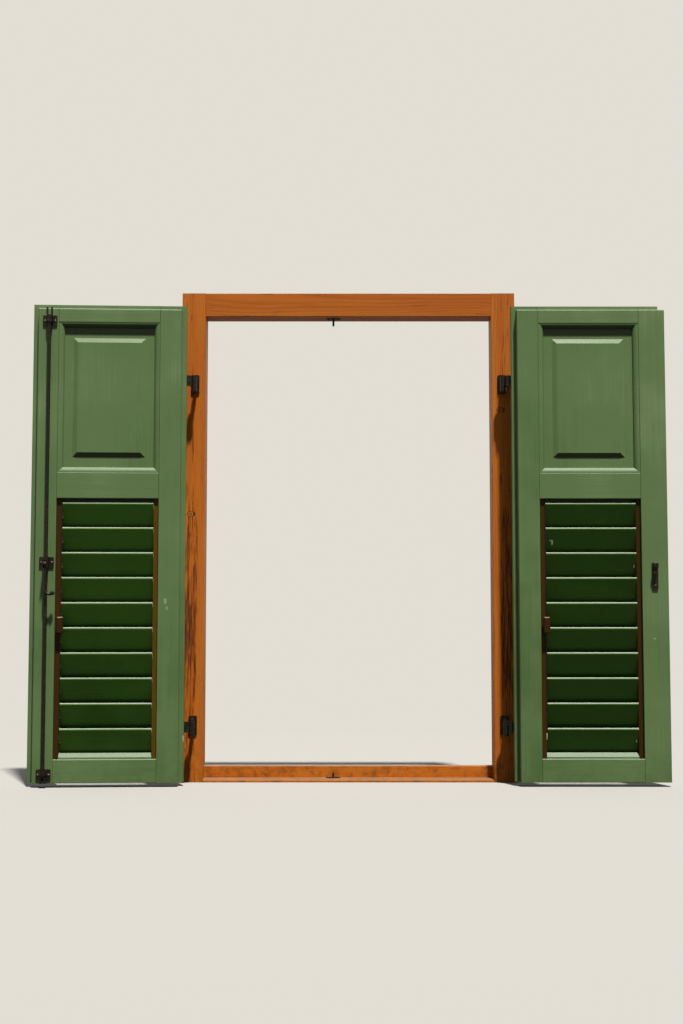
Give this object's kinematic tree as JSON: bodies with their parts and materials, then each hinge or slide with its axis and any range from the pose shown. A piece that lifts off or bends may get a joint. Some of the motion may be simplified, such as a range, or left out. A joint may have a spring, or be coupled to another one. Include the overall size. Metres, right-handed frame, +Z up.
{
  "type": "window shutters",
  "caption": "Pair of framed wooden window shutters with raised panels over tilting slats, hung on pintles in a wooden frame, with a turning bolt and drop handle.",
  "frame": {"origin": "centre of the sill rail's bottom face, on the frame's mid depth", "axes": "+X to the viewer's right, +Y into the building, +Z up"},
  "size_m": [1.773, 0.2371, 1.4],
  "materials": {
    "green_paint": "satin green paint over wood, weathered",
    "stained_frame": "orange-brown stain with open grain",
    "brown_wood": "dark stained wood",
    "black_iron": "blackened wrought iron",
    "screws": "dulled steel"
  },
  "bodies": {
    "frame": {"frame_head": "stained_frame", "frame_jamb_left": "stained_frame", "frame_jamb_right": "stained_frame", "frame_sill": "stained_frame", "pintles_left": "black_iron", "pintles_right": "black_iron", "pintle_screws": "screws", "keeper_top": "black_iron", "keeper_bottom": "black_iron"},
    "left_leaf": {"left_hinge_stile": "green_paint", "left_meeting_stile": "green_paint", "left_top_rail": "green_paint", "left_mid_rail": "green_paint", "left_bottom_rail": "green_paint", "left_panel": "green_paint", "left_panel_beads": "green_paint", "left_slat_strips": "brown_wood", "left_straps": "black_iron", "left_strap_screws": "screws", "bolt_guides": "black_iron"},
    "left_slat_01": {"left_slat_01": "green_paint"},
    "left_slat_02": {"left_slat_02": "green_paint"},
    "left_slat_03": {"left_slat_03": "green_paint"},
    "left_slat_04": {"left_slat_04": "green_paint"},
    "left_slat_05": {"left_slat_05": "green_paint"},
    "left_slat_06": {"left_slat_06": "green_paint"},
    "left_slat_07": {"left_slat_07": "green_paint"},
    "left_slat_08": {"left_slat_08": "green_paint"},
    "left_slat_09": {"left_slat_09": "green_paint"},
    "left_slat_10": {"left_slat_10": "green_paint"},
    "left_tilt_rod": {"left_tilt_rod": "black_iron", "left_tilt_knob": "brown_wood"},
    "right_leaf": {"right_hinge_stile": "green_paint", "right_meeting_stile": "green_paint", "right_top_rail": "green_paint", "right_mid_rail": "green_paint", "right_bottom_rail": "green_paint", "right_panel": "green_paint", "right_panel_beads": "green_paint", "right_slat_strips": "brown_wood", "right_straps": "black_iron", "right_strap_screws": "screws", "handle_catch": "black_iron"},
    "right_slat_01": {"right_slat_01": "green_paint"},
    "right_slat_02": {"right_slat_02": "green_paint"},
    "right_slat_03": {"right_slat_03": "green_paint"},
    "right_slat_04": {"right_slat_04": "green_paint"},
    "right_slat_05": {"right_slat_05": "green_paint"},
    "right_slat_06": {"right_slat_06": "green_paint"},
    "right_slat_07": {"right_slat_07": "green_paint"},
    "right_slat_08": {"right_slat_08": "green_paint"},
    "right_slat_09": {"right_slat_09": "green_paint"},
    "right_slat_10": {"right_slat_10": "green_paint"},
    "right_tilt_rod": {"right_tilt_rod": "black_iron", "right_tilt_knob": "brown_wood"},
    "bolt": {"bolt_rod": "black_iron", "handle_pin": "black_iron"},
    "handle": {"bolt_handle": "black_iron"}
  },
  "joints": [
    {"name": "left_leaf_hinge", "type": "hinge", "parent": "frame", "child": "left_leaf", "pos_m": [-0.441, -0.079, 0.16], "axis": [0, 0, 1], "range_deg": [0, 177]},
    {"name": "left_slat_01_pivot", "type": "hinge", "parent": "left_leaf", "child": "left_slat_01", "pos_m": [-0.67052, -0.13709, 0.7464], "axis": [0.9986, 0.0523, 0], "range_deg": [-8, 68]},
    {"name": "left_slat_02_pivot", "type": "hinge", "parent": "left_leaf", "child": "left_slat_02", "pos_m": [-0.67052, -0.13709, 0.6772], "axis": [0.9986, 0.0523, 0], "range_deg": [-8, 68]},
    {"name": "left_slat_03_pivot", "type": "hinge", "parent": "left_leaf", "child": "left_slat_03", "pos_m": [-0.67052, -0.13709, 0.608], "axis": [0.9986, 0.0523, 0], "range_deg": [-8, 68]},
    {"name": "left_slat_04_pivot", "type": "hinge", "parent": "left_leaf", "child": "left_slat_04", "pos_m": [-0.67052, -0.13709, 0.5388], "axis": [0.9986, 0.0523, 0], "range_deg": [-8, 68]},
    {"name": "left_slat_05_pivot", "type": "hinge", "parent": "left_leaf", "child": "left_slat_05", "pos_m": [-0.67052, -0.13709, 0.4696], "axis": [0.9986, 0.0523, 0], "range_deg": [-8, 68]},
    {"name": "left_slat_06_pivot", "type": "hinge", "parent": "left_leaf", "child": "left_slat_06", "pos_m": [-0.67052, -0.13709, 0.4004], "axis": [0.9986, 0.0523, 0], "range_deg": [-8, 68]},
    {"name": "left_slat_07_pivot", "type": "hinge", "parent": "left_leaf", "child": "left_slat_07", "pos_m": [-0.67052, -0.13709, 0.3312], "axis": [0.9986, 0.0523, 0], "range_deg": [-8, 68]},
    {"name": "left_slat_08_pivot", "type": "hinge", "parent": "left_leaf", "child": "left_slat_08", "pos_m": [-0.67052, -0.13709, 0.262], "axis": [0.9986, 0.0523, 0], "range_deg": [-8, 68]},
    {"name": "left_slat_09_pivot", "type": "hinge", "parent": "left_leaf", "child": "left_slat_09", "pos_m": [-0.67052, -0.13709, 0.1928], "axis": [0.9986, 0.0523, 0], "range_deg": [-8, 68]},
    {"name": "left_slat_10_pivot", "type": "hinge", "parent": "left_leaf", "child": "left_slat_10", "pos_m": [-0.67052, -0.13709, 0.1236], "axis": [0.9986, 0.0523, 0], "range_deg": [-8, 68]},
    {"name": "left_tilt_rod_link", "type": "hinge", "parent": "left_slat_01", "child": "left_tilt_rod", "pos_m": [-0.66994, -0.14831, 0.77422], "axis": [0.9986, 0.0523, 0], "range_deg": [-68, 8]},
    {"name": "right_leaf_hinge", "type": "hinge", "parent": "frame", "child": "right_leaf", "pos_m": [0.441, -0.079, 0.16], "axis": [0, 0, -1], "range_deg": [0, 180]},
    {"name": "right_slat_01_pivot", "type": "hinge", "parent": "right_leaf", "child": "right_slat_01", "pos_m": [0.67325, -0.125, 0.7464], "axis": [1, 0, 0], "range_deg": [-8, 68]},
    {"name": "right_slat_02_pivot", "type": "hinge", "parent": "right_leaf", "child": "right_slat_02", "pos_m": [0.67325, -0.125, 0.6772], "axis": [1, 0, 0], "range_deg": [-8, 68]},
    {"name": "right_slat_03_pivot", "type": "hinge", "parent": "right_leaf", "child": "right_slat_03", "pos_m": [0.67325, -0.125, 0.608], "axis": [1, 0, 0], "range_deg": [-8, 68]},
    {"name": "right_slat_04_pivot", "type": "hinge", "parent": "right_leaf", "child": "right_slat_04", "pos_m": [0.67325, -0.125, 0.5388], "axis": [1, 0, 0], "range_deg": [-8, 68]},
    {"name": "right_slat_05_pivot", "type": "hinge", "parent": "right_leaf", "child": "right_slat_05", "pos_m": [0.67325, -0.125, 0.4696], "axis": [1, 0, 0], "range_deg": [-8, 68]},
    {"name": "right_slat_06_pivot", "type": "hinge", "parent": "right_leaf", "child": "right_slat_06", "pos_m": [0.67325, -0.125, 0.4004], "axis": [1, 0, 0], "range_deg": [-8, 68]},
    {"name": "right_slat_07_pivot", "type": "hinge", "parent": "right_leaf", "child": "right_slat_07", "pos_m": [0.67325, -0.125, 0.3312], "axis": [1, 0, 0], "range_deg": [-8, 68]},
    {"name": "right_slat_08_pivot", "type": "hinge", "parent": "right_leaf", "child": "right_slat_08", "pos_m": [0.67325, -0.125, 0.262], "axis": [1, 0, 0], "range_deg": [-8, 68]},
    {"name": "right_slat_09_pivot", "type": "hinge", "parent": "right_leaf", "child": "right_slat_09", "pos_m": [0.67325, -0.125, 0.1928], "axis": [1, 0, 0], "range_deg": [-8, 68]},
    {"name": "right_slat_10_pivot", "type": "hinge", "parent": "right_leaf", "child": "right_slat_10", "pos_m": [0.67325, -0.125, 0.1236], "axis": [1, 0, 0], "range_deg": [-8, 68]},
    {"name": "right_tilt_rod_link", "type": "hinge", "parent": "right_slat_01", "child": "right_tilt_rod", "pos_m": [0.67325, -0.13624, 0.77422], "axis": [1, 0, 0], "range_deg": [-68, 8]},
    {"name": "bolt_turn", "type": "hinge", "parent": "left_leaf", "child": "bolt", "pos_m": [-0.83377, -0.17969, 0.61], "axis": [0, 0, -1], "range_deg": [0, 90]},
    {"name": "handle_lift", "type": "hinge", "parent": "bolt", "child": "handle", "pos_m": [-0.83304, -0.19367, 0.61], "axis": [-0.9986, -0.0523, 0], "range_deg": [0, 115]}
  ],
  "couplings": [
    {"joint": "left_slat_02_pivot", "follows": "left_slat_01_pivot", "ratio": 1},
    {"joint": "left_slat_03_pivot", "follows": "left_slat_01_pivot", "ratio": 1},
    {"joint": "left_slat_04_pivot", "follows": "left_slat_01_pivot", "ratio": 1},
    {"joint": "left_slat_05_pivot", "follows": "left_slat_01_pivot", "ratio": 1},
    {"joint": "left_slat_06_pivot", "follows": "left_slat_01_pivot", "ratio": 1},
    {"joint": "left_slat_07_pivot", "follows": "left_slat_01_pivot", "ratio": 1},
    {"joint": "left_slat_08_pivot", "follows": "left_slat_01_pivot", "ratio": 1},
    {"joint": "left_slat_09_pivot", "follows": "left_slat_01_pivot", "ratio": 1},
    {"joint": "left_slat_10_pivot", "follows": "left_slat_01_pivot", "ratio": 1},
    {"joint": "left_tilt_rod_link", "follows": "left_slat_01_pivot", "ratio": -1},
    {"joint": "right_slat_02_pivot", "follows": "right_slat_01_pivot", "ratio": 1},
    {"joint": "right_slat_03_pivot", "follows": "right_slat_01_pivot", "ratio": 1},
    {"joint": "right_slat_04_pivot", "follows": "right_slat_01_pivot", "ratio": 1},
    {"joint": "right_slat_05_pivot", "follows": "right_slat_01_pivot", "ratio": 1},
    {"joint": "right_slat_06_pivot", "follows": "right_slat_01_pivot", "ratio": 1},
    {"joint": "right_slat_07_pivot", "follows": "right_slat_01_pivot", "ratio": 1},
    {"joint": "right_slat_08_pivot", "follows": "right_slat_01_pivot", "ratio": 1},
    {"joint": "right_slat_09_pivot", "follows": "right_slat_01_pivot", "ratio": 1},
    {"joint": "right_slat_10_pivot", "follows": "right_slat_01_pivot", "ratio": 1},
    {"joint": "right_tilt_rod_link", "follows": "right_slat_01_pivot", "ratio": -1}
  ]
}
